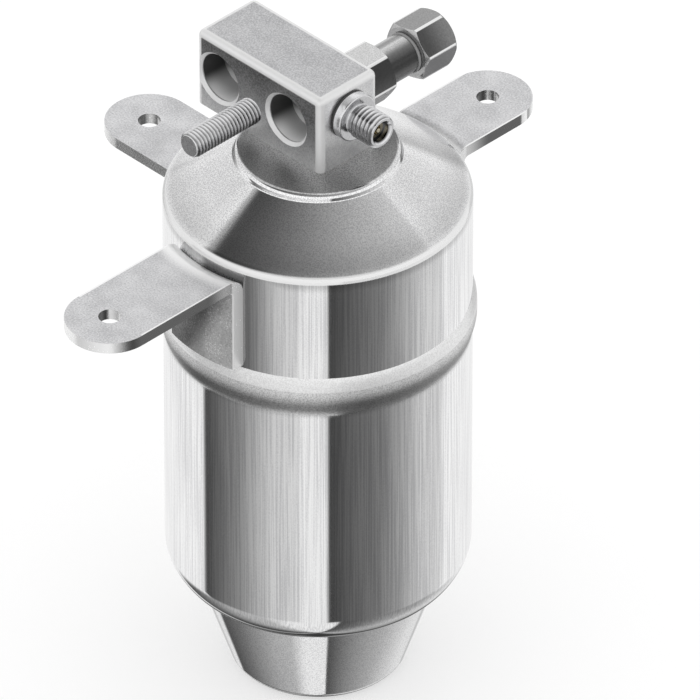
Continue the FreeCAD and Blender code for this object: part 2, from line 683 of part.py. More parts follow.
parts = {
    "lower_shell": make_lower_shell(),
    "upper_shell": make_upper_shell(),
    "seam_weld": make_seam_weld(),
    "connector_block": make_connector_block(),
    "passage_plug": make_passage_plug(),
    "clamp_stud": make_clamp_stud(),
    "switch_nipple": make_switch_nipple(),
    "switch_washer": make_switch_washer(),
    "service_valve_body": make_service_valve(),
    "service_washer": make_service_washer(),
    "service_cap_gasket": make_cap_gasket(),
    "service_cap": make_service_cap(),
    "pickup_tube": make_pickup_tube(),
    "tube_seal": make_tube_seal(),
    "tube_strainer": make_tube_strainer(),
    "lower_plate": make_plate(LOWER_PLATE_Z),
    "lower_pad": pack_disc(LOWER_PAD_Z, PAD_THICKNESS),
    "desiccant": pack_disc(DESICCANT_Z, DESICCANT_HEIGHT),
    "upper_pad": pack_disc(UPPER_PAD_Z, PAD_THICKNESS),
    "upper_plate": make_plate(UPPER_PLATE_Z),
    "pack_spring": coil(PACK_SPRING_R, PACK_SPRING_WIRE_R, PACK_TOP_Z + PACK_SPRING_SEAT_GAP,
                        CAN_CEILING_Z - PACK_SPRING_SEAT_GAP, PACK_SPRING_TURNS),
}
parts.update(make_bracket("front", -90, FRONT_REACH, FRONT_TOP_Z))
parts.update(make_bracket("left", 180, LEFT_REACH, LEFT_TOP_Z))
parts.update(make_bracket("rear", 90, REAR_REACH, REAR_TOP_Z))
parts.update(make_valve_core("switch", NIPPLE_END, NIPPLE_BASE, V(1, 0, 0)))
parts.update(make_valve_core("service", VALVE_END, VALVE_BASE, V(0, 1, 0)))

os.makedirs("parts", exist_ok=True)
for name, solid in parts.items():
    solid.exportStep(f"parts/{name}.step")
    count = len(solid.Solids)
    print(f"{name}: {count} solid, {solid.Volume / 1000:.2f} cm3, valid {solid.isValid()}")
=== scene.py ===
# %% [markdown]
# # A refrigerant filter drier
# The drier is a pressed steel can that stands on its tapered sump. A machined block on top holds two
# ports, a clamp stud, a switch nipple and a capped service valve, and three bent tabs carry the can.
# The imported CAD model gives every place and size, and this lesson gives its pieces their finished
# shapes, surfaces and light.

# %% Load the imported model
import json
import math

import bmesh
import bpy
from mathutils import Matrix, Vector


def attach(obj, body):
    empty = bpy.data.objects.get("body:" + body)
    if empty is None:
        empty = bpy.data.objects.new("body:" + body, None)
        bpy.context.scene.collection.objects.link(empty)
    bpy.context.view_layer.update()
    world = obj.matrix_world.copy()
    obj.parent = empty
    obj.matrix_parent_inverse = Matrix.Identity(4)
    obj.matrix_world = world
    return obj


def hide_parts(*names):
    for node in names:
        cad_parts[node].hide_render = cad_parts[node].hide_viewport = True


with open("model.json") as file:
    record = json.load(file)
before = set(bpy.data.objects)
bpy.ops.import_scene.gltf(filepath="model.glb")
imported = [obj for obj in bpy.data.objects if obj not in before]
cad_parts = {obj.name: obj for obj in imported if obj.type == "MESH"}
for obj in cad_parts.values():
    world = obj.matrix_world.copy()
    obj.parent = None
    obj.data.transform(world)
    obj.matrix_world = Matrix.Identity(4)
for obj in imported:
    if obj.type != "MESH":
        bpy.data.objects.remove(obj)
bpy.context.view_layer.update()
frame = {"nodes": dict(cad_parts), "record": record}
nodes = frame["nodes"]
MM = 0.001
RIGHT, LEFT, BACK, FRONT, UP = (1, 0, 0), (-1, 0, 0), (0, 1, 0), (0, -1, 0), (0, 0, 1)

# %% [markdown]
# ## The camera
# The drawing looks down at the drier from its front right corner, nearly without perspective. A long
# lens far away gives that, and it is turned and placed by the direction and the point it looks at.

# %% Camera
VIEW_AZIMUTH = math.radians(45.5)
VIEW_ELEVATION = math.radians(36.8)
VIEW_DISTANCE = 5.0
VIEW_LENS = 893.5
VIEW_HEIGHT = 108.3 * MM
VIEW_SIDE_STEP = 9.19 * MM

view_right = Vector((math.cos(VIEW_AZIMUTH), math.sin(VIEW_AZIMUTH), 0))
view_near = Vector((math.sin(VIEW_AZIMUTH), -math.cos(VIEW_AZIMUTH), 0))
view_back = view_near * math.cos(VIEW_ELEVATION) + Vector((0, 0, math.sin(VIEW_ELEVATION)))
view_target = Vector((0, 0, VIEW_HEIGHT)) + view_right * VIEW_SIDE_STEP
bpy.ops.object.camera_add(location=view_target + view_back * VIEW_DISTANCE,
                          rotation=view_back.to_track_quat("Z", "Y").to_euler())
camera = bpy.context.object
camera.name = "camera"
camera.data.lens = VIEW_LENS
camera.data.sensor_width = 36
camera.data.clip_end = 20
bpy.context.scene.camera = camera
bpy.context.scene.view_settings.view_transform = "Standard"
print("camera at", [round(c, 3) for c in camera.location])

# %% [markdown]
# ## Writing node trees as sums
# A surface or a studio is easier to read as a formula than as a web of nodes. `Term` holds one socket
# and turns each sum on it into a Math node, and `Tree.add` makes every other node from its type, its
# settings and what goes into its sockets.

# %% Sums on sockets
class Term:
    """One socket of a node tree, on which sums can be written."""

    def __init__(self, tree, socket):
        self.tree = tree
        self.socket = socket

    def __add__(self, other):
        return self.tree.math_of("ADD", self, other)

    __radd__ = __add__

    def __mul__(self, other):
        return self.tree.math_of("MULTIPLY", self, other)

    __rmul__ = __mul__

    def __sub__(self, other):
        return self.tree.math_of("SUBTRACT", self, other)

    def __rsub__(self, other):
        return self.tree.math_of("SUBTRACT", other, self)

    def __abs__(self):
        return self.tree.math_of("ABSOLUTE", self, 0)


# %% Node trees
class Tree:
    """A node tree that is filled from its inputs to its output."""

    def __init__(self, node_tree):
        self.node_tree = node_tree
        node_tree.nodes.clear()

    def add(self, kind, settings=None, inputs=None, out=0):
        """Makes a node, sets it up, fills its sockets and returns one of its outputs."""
        node = self.node_tree.nodes.new(kind)
        for key, value in (settings or {}).items():
            if key == "stops":
                ramp = node.color_ramp
                while len(ramp.elements) < len(value):
                    ramp.elements.new(0.5)
                for element, (place, grey) in zip(ramp.elements, value):
                    element.position = place
                    element.color = (grey, grey, grey, 1)
            else:
                setattr(node, key, value)
        for key, value in (inputs or {}).items():
            if isinstance(value, Term):
                self.node_tree.links.new(value.socket, node.inputs[key])
            else:
                node.inputs[key].default_value = value
        return Term(self, node.outputs[out]) if len(node.outputs) else node

    def math_of(self, operation, first, second):
        return self.add("ShaderNodeMath", {"operation": operation}, {0: first, 1: second})

    def vector_math(self, operation, first, second=(0, 0, 0), out=0):
        return self.add("ShaderNodeVectorMath", {"operation": operation}, {0: first, 1: second}, out)

    def along(self, direction, way):
        """How far a place or a direction reaches along a way."""
        way = way if isinstance(way, Term) else tuple(way)
        return self.vector_math("DOT_PRODUCT", direction, way, "Value")

    def fade(self, value, start, end):
        """0 below start and 1 above end, smoothly between them."""
        return self.add("ShaderNodeMapRange", {"interpolation_type": "SMOOTHSTEP"},
                        {"Value": value, "From Min": start, "From Max": end})

    def ramp(self, stops, place):
        return self.add("ShaderNodeValToRGB", {"stops": stops}, {0: place})


# %% [markdown]
# ## The studio
# Bright metal shows its surroundings, so the light is most of its finish. The drawing shows a studio
# of tall cards: white at both sides, a lit strip straight ahead, and dark cloths that fade between
# them. The world shows these cards to reflected rays only. Every other ray sees one even, soft white,
# so the floor and the dull pieces are lit plainly.
#
# The cards hang in five rows, and a ray meets a row by how steeply it points. The sump, which leans
# over the floor, shows the lowest row. The upright wall shows the second row when it is seen from
# above and the third when it is seen from lower down. The fourth is for faces that are turned up a
# little, and the cone and the tops show the highest. Each row is a list of places and brightnesses
# that goes once round the drier, from behind it at 0 over the left to the viewer at 0.5 and on over
# the right.

# %% Rows of cards
SUMP_CARDS = [(0.0, 0.12), (0.05, 0.18), (0.065, 0.80), (0.09, 0.85), (0.10, 0.08), (0.17, 0.17),
              (0.29, 0.42), (0.365, 0.50), (0.41, 0.78), (0.44, 0.85), (0.543, 0.85), (0.549, 0.07),
              (0.61, 0.16), (0.77, 0.42), (0.89, 0.75), (0.93, 0.78), (0.95, 0.18), (1.0, 0.12)]
WALL_CARDS = [(0.0, 0.92), (0.232, 0.92), (0.240, 0.06), (0.29, 0.16), (0.33, 0.25), (0.37, 0.44),
              (0.41, 0.62), (0.458, 0.68), (0.466, 0.84), (0.518, 0.86), (0.523, 0.05), (0.56, 0.11),
              (0.63, 0.19), (0.68, 0.36), (0.73, 0.60), (0.79, 0.70), (0.806, 0.92), (1.0, 0.92)]
LOW_VIEW_CARDS = [(0.0, 0.95), (0.07, 0.90), (0.08, 0.10), (0.13, 0.35), (0.17, 0.85), (0.232, 0.95),
                  (0.242, 0.14), (0.30, 0.35), (0.38, 0.70), (0.46, 0.85), (0.54, 0.90), (0.55, 0.10),
                  (0.62, 0.30), (0.70, 0.60), (0.78, 0.85), (0.86, 0.92), (0.87, 0.12), (0.92, 0.40),
                  (0.97, 0.85), (1.0, 0.95)]
ROOM_CARDS = [(0.0, 1.0), (0.06, 0.95), (0.10, 0.80), (0.17, 0.75), (0.22, 0.90), (0.27, 1.0), (0.5, 1.05),
              (0.73, 1.0), (0.78, 0.90), (0.84, 0.75), (0.90, 0.80), (0.94, 0.95), (1.0, 1.0)]
CONE_CARDS = [(0.0, 0.70), (0.12, 0.60), (0.19, 0.44), (0.207, 0.40), (0.212, 0.05), (0.26, 0.09),
              (0.36, 0.18), (0.5, 0.27), (0.65, 0.37), (0.74, 0.48), (0.79, 0.62), (0.84, 0.75),
              (0.92, 0.85), (1.0, 0.85)]
NEXT_ROWS = [(-0.74, -0.64, WALL_CARDS), (-0.56, -0.50, LOW_VIEW_CARDS), (0.02, 0.14, ROOM_CARDS),
             (0.725, 0.75, CONE_CARDS)]
print("rows of cards:", 1 + len(NEXT_ROWS))

# %% Studio world
EVEN_LIGHT = 1.12

bpy.context.scene.world = bpy.data.worlds.new("studio")
bpy.context.scene.world.use_nodes = True
studio = Tree(bpy.context.scene.world.node_tree)
look = studio.add("ShaderNodeTexCoord", out="Generated")
turn = studio.math_of("ARCTAN2", studio.along(look, view_right), studio.along(look, view_near))
round_place = turn * (1 / math.tau) + 0.5
steepness = studio.along(look, UP)
cards = studio.ramp(SUMP_CARDS, round_place)
for start, full, stops in NEXT_ROWS:
    row_share = studio.fade(steepness, start, full)
    cards = cards * (1 - row_share) + studio.ramp(stops, round_place) * row_share
reflected = studio.add("ShaderNodeLightPath", out="Is Glossy Ray")
shown = cards * reflected + (1 - reflected) * EVEN_LIGHT
background = studio.add("ShaderNodeBackground", None, {"Color": shown, "Strength": 1.0})
studio.add("ShaderNodeOutputWorld", None, {"Surface": background})
print("studio:", len(bpy.context.scene.world.node_tree.nodes), "nodes")

# %% [markdown]
# ## The floor
# A plain pale floor, large enough for every view. Polished steel would show it in all its sides, which
# the drawing doesn't, so it is hidden from reflected rays. A little light of its own keeps it as white
# as the paper.

# %% Floor
FLOOR_SIZE = 12
FLOOR_GREY = 0.52
FLOOR_GLOW = 0.46

bpy.ops.object.select_all(action="DESELECT")
bpy.ops.mesh.primitive_plane_add(size=FLOOR_SIZE)
floor = bpy.context.object
floor.name = "floor"
floor.visible_glossy = False
floor_paint = bpy.data.materials.new("floor_paper")
floor_paint.use_nodes = True
paper = Tree(floor_paint.node_tree)
paper_shader = paper.add("ShaderNodeBsdfPrincipled", None,
                         {"Base Color": (FLOOR_GREY, FLOOR_GREY, FLOOR_GREY, 1), "Roughness": 0.9,
                          "Emission Color": (1, 1, 1, 1), "Emission Strength": FLOOR_GLOW})
paper.add("ShaderNodeOutputMaterial", None, {"Surface": paper_shader})
floor.data.materials.append(floor_paint)
print("floor", tuple(floor.dimensions))

# %% [markdown]
# ## Surfaces of the drier
# Each finish starts from the same recipe: Object coordinates, so that a pattern stays with its piece,
# one noise for broad changes of tone and one for the grain. Drawn sheet gets streaks that run up the
# can, machined and plated pieces get an even grain. Zones of a finish are told by their place, and
# `rise` and `band` draw their soft borders in millimetres.

# %% Finish helpers
finishes = {}


def new_finish(name):
    finishes[name] = bpy.data.materials.new(name)
    finishes[name].use_nodes = True
    tree = Tree(finishes[name].node_tree)
    return tree, tree.add("ShaderNodeTexCoord", out="Object")


def coat_with(tree, sockets):
    shader = tree.add("ShaderNodeBsdfPrincipled", None, sockets)
    tree.add("ShaderNodeOutputMaterial", None, {"Surface": shader})


def noise(spot, scale, detail=2.0):
    """Noise from 0 to 1, whose cells to the metre are one number or three, along X, Y and Z."""
    scale = scale if isinstance(scale, tuple) else (scale, scale, scale)
    stretched = spot.tree.add("ShaderNodeMapping", None, {"Vector": spot, "Scale": scale})
    return spot.tree.add("ShaderNodeTexNoise", None, {"Vector": stretched, "Scale": 1.0, "Detail": detail})


def tint(share, low, high):
    """Colour between two colours, by a share from 0 to 1. Each may be a grey, three numbers or a link."""
    colours = [colour if isinstance(colour, (Term, tuple)) else (colour,) * 3 for colour in (low, high)]
    low, high = [colour if isinstance(colour, Term) else (*colour, 1) for colour in colours]
    return share.tree.add("ShaderNodeMix", {"data_type": "RGBA"}, {0: share, 6: low, 7: high}, out=2)


def bump(relief, depth):
    """Normals of a relief from 0 to 1 that is so many millimetres deep."""
    return relief.tree.add("ShaderNodeBump", None,
                           {"Height": relief, "Distance": depth * MM, "Strength": 1.0})


# %% Zones in millimetres
def rise(value, start, end):
    """0 where a length is below start and 1 where it is above end."""
    return value.tree.fade(value, start * MM, end * MM)


def band(value, start, full, last, end):
    """Rises from start to full and falls again from last to end."""
    return rise(value, start, full) * (1 - rise(value, last, end))


def distance(spot, point, keep):
    """Distance to a point along the axes whose keep is 1: (1, 1, 0) measures from an upright axis."""
    offset = spot.tree.vector_math("SUBTRACT", spot, tuple(c * MM for c in point))
    flat = spot.tree.vector_math("MULTIPLY", offset, keep)
    return spot.tree.vector_math("LENGTH", flat, out="Value")


# %% [markdown]
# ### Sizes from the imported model
# The zones and the new shapes use the same sizes, so those come first. Most are read off the box round
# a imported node, which keeps the new pieces in step with the model. A few are inside a node, such as the
# height of the can's rim, and are written down by name.

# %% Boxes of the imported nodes
def box_of(name):
    """Lowest and highest corner of a CAD node."""
    places = [vertex.co for vertex in nodes[name].data.vertices]
    return [tuple(round(pick(place[axis] for place in places) / MM, 4) for axis in range(3))
            for pick in (min, max)]


def middle_of(name):
    return tuple(round((low + high) / 2, 2) for low, high in zip(*box_of(name)))


print("the drier's block is at", box_of("connector_block"))

# %% Sizes of the can
CAN_R, _, CAN_TOP = box_of("upper_shell")[1]
BELL_R, _, BELL_TOP = box_of("lower_shell")[1]
LAP_FOOT = box_of("upper_shell")[0][2]
WELD_TOP = box_of("seam_weld")[1][2]
SUMP_TOP = 32.4
RIM_Z = 165.6
COLLAR_R = 24.3
print("can", CAN_R, CAN_TOP, "bell", BELL_R, BELL_TOP, "lap from", LAP_FOOT, "weld to", WELD_TOP)

# %% [markdown]
# ### Drawn sheet steel
# The can is deep-drawn, which leaves its wall bright with fine marks along the draw. The cone was
# pressed and has an even grain instead, and the seat under the block was faced on a lathe and is satin.
# The weld's heat has dulled the sheen of the bell below the seam. The bell also carries painted shade,
# darkest low down and lighter towards the seam. The rim carries a painted highlight. Painted shadow of
# the front bracket darkens the wall beside it, and painted shade darkens the wall under the rim, the cone
# near the rim and the sump's fold. Both shells could have several materials, but a zone's border would
# then be hard and follow the faces, so one material tells its zones by height and radius.

# %% Zones of the can
tree, spot = new_finish("can_steel")
height = tree.along(spot, UP)
radius = distance(spot, (0, 0, 0), (1, 1, 0))
cone = rise(height, RIM_Z + 0.4, RIM_Z + 1.9)
seat = rise(height, CAN_TOP - 0.7, CAN_TOP - 0.2) * (1 - rise(radius, COLLAR_R - 1.9, COLLAR_R - 0.9))
# Painted shade on the bell below the seam, which is also rougher there
dull_shaded_bell = band(height, BELL_TOP - 10.5, BELL_TOP - 6.5, BELL_TOP + 0.5, BELL_TOP + 2.0)
pale = rise(height, BELL_TOP - 5.5, BELL_TOP - 0.5)
# Painted shadow of the front bracket on the wall beside it
bracket_shadow = band(tree.along(spot, RIGHT), -4, 0, 12, 27) * (1 - rise(tree.along(spot, BACK), -40, -20)) \
    * rise(height, WELD_TOP - 1.8, WELD_TOP - 0.8) * (1 - cone)
# Painted highlight: the rim band is painted pale and made less metallic
rim = band(height, RIM_Z - 1.4, RIM_Z - 1.1, RIM_Z + 0.5, RIM_Z + 0.9)
# Painted shade on the wall just under the rim
under_rim_shade = band(height, RIM_Z - 4.6, RIM_Z - 1.4, RIM_Z - 1.4, RIM_Z - 1.1)
# Painted shade on the cone, darker towards the rim
cone_rim_shade = cone * rise(radius, CAN_R - 11.5, CAN_R - 1.5)
sump = 1 - rise(height, SUMP_TOP - 1.4, SUMP_TOP + 0.6)
# Painted shade in the sump's fold, reaching a little up the knuckle
fold_shade = band(height, SUMP_TOP - 0.2, SUMP_TOP + 0.4, SUMP_TOP + 4.6, SUMP_TOP + 7.6)
even = cone + dull_shaded_bell + sump
print("zones of the can:", len(tree.node_tree.nodes), "nodes")

# %% Can steel
streaks = noise(spot, (2300, 2300, 25), 4.0)
grain = noise(spot, 2800, 1.5)
patches = noise(spot, (60, 60, 25))
pattern = (streaks * 0.75 + grain * 0.25) * (1 - even) + grain * even
share = tree.fade(pattern * 0.85 + patches * 0.15, 0.36, 0.62)
# Bright drawn steel, with painted shade in the sump's fold
bright = tint(fold_shade, tint(share, (0.70, 0.70, 0.71), 1.0), 0.13)
# Painted shade of the bell: dark low down, lighter towards the seam
bell_shade = tint(pale, tint(share, 0.20, 0.38), tint(share, 0.50, 0.78))
# Painted shadow beside the front bracket and painted shade under the rim and on the cone's outer part
shaded = tree.math_of("MAXIMUM", bracket_shadow * 0.7, under_rim_shade * 0.35 + cone_rim_shade * 0.22)
outside = tint(rim, tint(shaded, tint(dull_shaded_bell, bright, bell_shade), 0.1), 0.76)
coat_with(tree, {
    "Base Color": tint(seat, outside, tint(share, 0.24, 0.46)),
    "Metallic": 1 - rim * 0.8 - dull_shaded_bell * pale * 0.45,
    "Roughness": 0.05 + (1 - share) * 0.04 + cone * 0.02 + dull_shaded_bell * 0.32 + seat * 0.35,
    "Normal": bump(pattern, 0.003),
})
print("can_steel:", len(tree.node_tree.nodes), "nodes")

# %% Sizes of the block
BLOCK_LOW = (*box_of("connector_block")[0][:2], CAN_TOP)
BLOCK_HIGH = box_of("connector_block")[1]
BOSS_FOOT = box_of("connector_block")[0][2]
BLOCK_EDGE = 2.0
TUBE_X, TUBE_Y, _ = middle_of("pickup_tube")
_, DRILLING_Y, PORT_Z = middle_of("passage_plug")
PORTS_X = (TUBE_X, -31.0)
PORT_R = 7.5
print("block", BLOCK_LOW, BLOCK_HIGH, "ports at", PORTS_X, PORT_Z)

# %% [markdown]
# ### Machined block
# The block was cut with a mill and tumbled: its faces are grey with an even grain, and its rounded edges
# and the chamfers of its ports carry a painted highlight. The front face has painted shade that grows
# darker towards the top, and its foot and the right end are painted light. Inside, the ports have painted
# shade above and painted light below. Light alone would draw the flat faces evenly, so these shades are
# put in by place.


# %% Zones of the block
def near_face(value, face, inwards):
    """1 within the rounding of the edge at a face, whose inside lies the way that inwards says."""
    start, end = sorted(face + inwards * (BLOCK_EDGE + step) for step in (-0.3, 0.3))
    past = rise(value, start, end)
    return 1 - past if inwards > 0 else past


tree, spot = new_finish("block_alloy")
x, y, z = [tree.along(spot, way) for way in (RIGHT, BACK, UP)]
end_edge = near_face(x, BLOCK_HIGH[0], -1) + near_face(x, BLOCK_LOW[0], 1)
side_edge = near_face(y, BLOCK_HIGH[1], -1) + near_face(y, BLOCK_LOW[1], 1)
top_edge = near_face(z, BLOCK_HIGH[2], -1)
to_port = tree.math_of("MINIMUM", *[distance(spot, (port_x, 0, PORT_Z), (1, 0, 1)) for port_x in PORTS_X])
chamfer = (1 - rise(to_port, PORT_R + 0.9, PORT_R + 1.0)) \
    * (1 - rise(y, BLOCK_LOW[1] + 1.0, BLOCK_LOW[1] + 1.2))
# Painted highlight on the rounded edges and the port chamfers, which are also less metallic and rougher
block_edge_highlight = tree.math_of(
    "MINIMUM", end_edge * side_edge + end_edge * top_edge + side_edge * top_edge + chamfer, 1.0)
front_face = 1 - rise(y, BLOCK_LOW[1] + 0.02, BLOCK_LOW[1] + 0.2)
right_face = rise(x, BLOCK_HIGH[0] - 0.2, BLOCK_HIGH[0] - 0.02)
shade = front_face * rise(z, BLOCK_LOW[2], BLOCK_HIGH[2] - 1.4)
light_foot = front_face * (1 - rise(z, BLOCK_LOW[2], BLOCK_LOW[2] + 12))
# Zones inside the ports, which take painted shade above and painted light below
in_port = (1 - rise(to_port, PORT_R + 0.1, PORT_R + 0.3)) \
    * band(y, BLOCK_LOW[1] + 1.1, BLOCK_LOW[1] + 1.5, 6, 7)
port_depth = rise(y, BLOCK_LOW[1] + 0.8, BLOCK_LOW[1] + 7.4)
port_floor = 1 - rise(z, PORT_Z - 7.0, PORT_Z - 2.5)
print("zones of the block:", len(tree.node_tree.nodes), "nodes")

# %% Block alloy
grain = noise(spot, 2300, 3.0)
clouds = noise(spot, 90)
share = tree.fade(grain * 0.7 + clouds * 0.3, 0.34, 0.66)
faces = tint(share, (0.40, 0.40, 0.41), (0.66, 0.66, 0.67))
drawn_dark = tint(front_face * 0.12 + shade * 0.75, faces, tint(share, 0.10, 0.24))
sides = tint(right_face + light_foot, drawn_dark, tint(share, (0.78, 0.78, 0.79), 1.0))
# Painted shade at the top of each port and painted light on its floor, a little darker deeper in
bore_light_and_shade = tint(port_floor * (1 - port_depth * 0.35), 0.05, 0.95)
coat_with(tree, {
    "Base Color": tint(in_port, tint(block_edge_highlight, sides, 0.80), bore_light_and_shade),
    "Metallic": 1 - in_port * 0.9 - block_edge_highlight * (1 - in_port) * 0.45,
    "Roughness": 0.30 + share * 0.12 + block_edge_highlight * 0.12,
    "Normal": bump(grain, 0.02),
})
print("block_alloy:", len(tree.node_tree.nodes), "nodes")

# %% Sizes of the brackets
tab_low, tab_high = box_of("front_bracket_tab")
BRACKET_WIDTH = tab_high[0] - tab_low[0]
SHEET = tab_high[2] - tab_low[2]
BRACKET_FOOT = box_of("front_bracket_leg")[0][2]
LEG_R = CAN_R + SHEET
FRONT_TAB_END = tab_low[1] + BRACKET_WIDTH / 2
print("brackets", BRACKET_WIDTH, "wide,", SHEET, "thick, from", BRACKET_FOOT, "and out to", FRONT_TAB_END)

# %% [markdown]
# ### Plated brackets
# The brackets were blanked and plated, and the front one's bend carries a painted highlight. Its leg is
# in the painted shadow of the tab, and the cut sides of the strip have painted shade past the bend. The
# rounded ends and the edges carry painted highlights and are the lightest. The three brackets point three
# ways, so a face's own normal tells the top, the cut sides and the round ends apart, and only what one
# bracket alone shows is told by its place.

# %% Zones of the brackets
tree, spot = new_finish("bracket_steel")
radius = distance(spot, (0, 0, 0), (1, 1, 0))
x, y = abs(tree.along(spot, RIGHT)), tree.along(spot, BACK)
facing = tree.add("ShaderNodeNewGeometry", out="Normal")
upward = tree.fade(tree.along(facing, UP), 0.25, 0.8)
slant = abs(tree.along(facing, UP))
flat_spot = tree.vector_math("MULTIPLY", spot, (1, 1, 0))
outward = tree.along(facing, tree.vector_math("NORMALIZE", flat_spot))
# Painted highlight along the front bracket's bend
bend_highlight = (1 - rise(radius, LEG_R + 1.5, LEG_R + 6)) * upward * (1 - rise(y, -30, -20))
# Painted highlight on the edges between the tops and the cut sides
sheet_edge_highlight = tree.fade(slant, 0.12, 0.3) * (1 - tree.fade(slant, 0.8, 0.95))
# Painted highlight along the long edges of the strip
long_edge_highlight = band(x, *[BRACKET_WIDTH / 2 - step for step in (0.6, 0.45, 0.05, 0.01)]) \
    * rise(y, FRONT_TAB_END, FRONT_TAB_END + 0.5)
# All painted highlights of the brackets
bracket_highlights = tree.math_of("MINIMUM", bend_highlight + sheet_edge_highlight + long_edge_highlight, 1.0)
leg = (1 - rise(radius, LEG_R + 0.3, LEG_R + 1.0)) * (1 - upward)
# Painted shade on the cut sides: light near the bend, dark past it
strip_side_shade = (1 - upward) * tree.fade(abs(tree.along(facing, RIGHT)), 0.8, 0.95)
# Painted highlight on the round ends, which are also less metallic
round_end_highlight = tree.fade(outward, 0.35, 0.75) * rise(radius, 58, 62) * (1 - upward)
under_tab = rise(tree.along(spot, (-2.2, 0, 1)), 126, 146)
print("zones of the brackets:", len(tree.node_tree.nodes), "nodes")

# %% Bracket steel
grain = noise(spot, 2000, 3.0)
clouds = noise(spot, 110)
share = tree.fade(grain * 0.65 + clouds * 0.35, 0.32, 0.68)
leg_face = tint(under_tab, tint(share, 0.36, 0.66), tint(share, 0.03, 0.14))
sides = tint(leg, tint(share, 0.52, 0.84), leg_face)
sides = tint(strip_side_shade, sides, tint(rise(radius, LEG_R, LEG_R + 10), 0.85, 0.18))
sides = tint(round_end_highlight, sides, 0.85)
flats = tint(share, (0.48, 0.48, 0.49), (0.78, 0.78, 0.79))
coat_with(tree, {
    "Base Color": tint(bracket_highlights, tint(upward, sides, flats), 0.97),
    "Metallic": 1 - leg * 0.5 - round_end_highlight * 0.6,
    "Roughness": 0.20 + upward * 0.12 + share * 0.08,
    "Normal": bump(grain, 0.02),
})
print("bracket_steel:", len(tree.node_tree.nodes), "nodes")

# %% Sizes of the fittings
STUD_AT = (middle_of("clamp_stud")[0], BLOCK_LOW[1], middle_of("clamp_stud")[2])
NIPPLE_AT = (BLOCK_HIGH[0], *middle_of("switch_nipple")[1:])
VALVE_AT = (middle_of("service_cap")[0], BLOCK_HIGH[1], middle_of("service_cap")[2])
STUD_TIP = box_of("clamp_stud")[0][1]
STUD_CREST, STUD_ROOT = 4.0, 3.3
NIPPLE_CREST, NIPPLE_ROOT = 5.15, 4.35
print("stud at", STUD_AT, "nipple at", NIPPLE_AT, "valve at", VALVE_AT, "stud to", STUD_TIP)

# %% [markdown]
# ### Turned fittings
# The threads of the stud and the nipple have painted shade in their roots and below, which a distance
# from the screw's own axis and the height tell. The valve and its cap are the darkest steel. Their small
# facets would each mirror one spot of the studio, so the reflection bands that run round them are painted
# by the way each facet faces, their end faces are painted lighter, and the hexagon corners carry a
# painted highlight.

# %% Fitting steel
tree, spot = new_finish("fitting_steel")
grain = noise(spot, 1800)
z = tree.along(spot, UP)
on_stud = band(tree.along(spot, BACK), STUD_TIP + 0.05, STUD_TIP + 0.4,
               BLOCK_LOW[1] + 0.1, BLOCK_LOW[1] + 0.4)
on_nipple = band(tree.along(spot, RIGHT), *[NIPPLE_AT[0] + step for step in (3.7, 4.4, 12.8, 13.3)])
# Painted shade in the thread roots of the stud and the nipple
stud_root_shade = 1 - rise(distance(spot, STUD_AT, (1, 0, 1)), STUD_ROOT + 0.05, STUD_CREST - 0.1)
nipple_root_shade = 1 - rise(distance(spot, NIPPLE_AT, (0, 1, 1)), NIPPLE_ROOT + 0.05, NIPPLE_CREST - 0.15)
# Painted shade on the lower sides of the stud and the nipple
stud_underside_shade = 1 - rise(z, STUD_AT[2] - 2.1, STUD_AT[2] + 1.9)
nipple_underside_shade = 1 - rise(z, NIPPLE_AT[2] - 3.7, NIPPLE_AT[2] - 0.4)
# All painted shade of the threads
thread_shade = tree.math_of("MINIMUM", on_stud * (stud_root_shade * 0.7 + stud_underside_shade * 0.75)
                    + on_nipple * (nipple_root_shade * 0.65 + nipple_underside_shade * 0.5), 1.0)
coat_with(tree, {
    "Base Color": tint(thread_shade, tint(grain, (0.66, 0.66, 0.67), (0.88, 0.88, 0.89)), 0.09),
    "Metallic": 1.0,
    "Roughness": 0.14 + grain * 0.08,
})
print("fitting_steel:", len(tree.node_tree.nodes), "nodes")

# %% Cap and valve steel
# Painted reflection bands: a grey for each way a facet faces round the axis
FACET_REFLECTION_BANDS = [(0.0, 0.20), (0.38, 0.42), (0.42, 0.32), (0.45, 0.24), (0.49, 0.14), (0.53, 0.06),
                  (0.60, 0.05), (0.64, 0.12), (0.68, 0.30), (0.71, 0.55), (0.74, 0.64), (0.765, 0.35),
                  (0.79, 0.28), (0.83, 0.50), (0.88, 0.30), (1.0, 0.20)]

tree, spot = new_finish("cap_steel")
grain = noise(spot, 2400)
facing = tree.add("ShaderNodeNewGeometry", out="Normal")
turned = tree.math_of("ARCTAN2", tree.along(facing, UP), tree.along(facing, RIGHT))
reflection_bands = tree.ramp(FACET_REFLECTION_BANDS, turned * (1 / math.tau) + 0.5)
# End faces painted lighter by the way they face
end_face_light = tree.fade(abs(tree.along(facing, BACK)), 0.6, 0.8)
along_cap = rise(tree.along(spot, BACK), VALVE_AT[1] + 26.4, VALVE_AT[1] + 38.4)
# Painted highlight on the hexagon corners
corner = rise(distance(spot, VALVE_AT, (1, 0, 1)), 8.93, 9.05)
below = 1 - rise(tree.along(spot, UP), VALVE_AT[2] - 6.6, VALVE_AT[2] + 4.4)
body = tint(tree.math_of("MAXIMUM", along_cap * 0.6, below * 0.45), reflection_bands, 0.32)
speckled = tree.add("ShaderNodeMix", {"data_type": "RGBA", "blend_type": "MULTIPLY"},
                    {0: 1.0, 6: tint(end_face_light, body, 0.52), 7: tint(grain, 0.6, 1.4)}, out=2)
coat_with(tree, {
    "Base Color": tint(corner, speckled, 0.85),
    "Metallic": 1.0,
    "Roughness": 0.16 + grain * 0.08,
})
print("cap_steel:", len(tree.node_tree.nodes), "nodes")

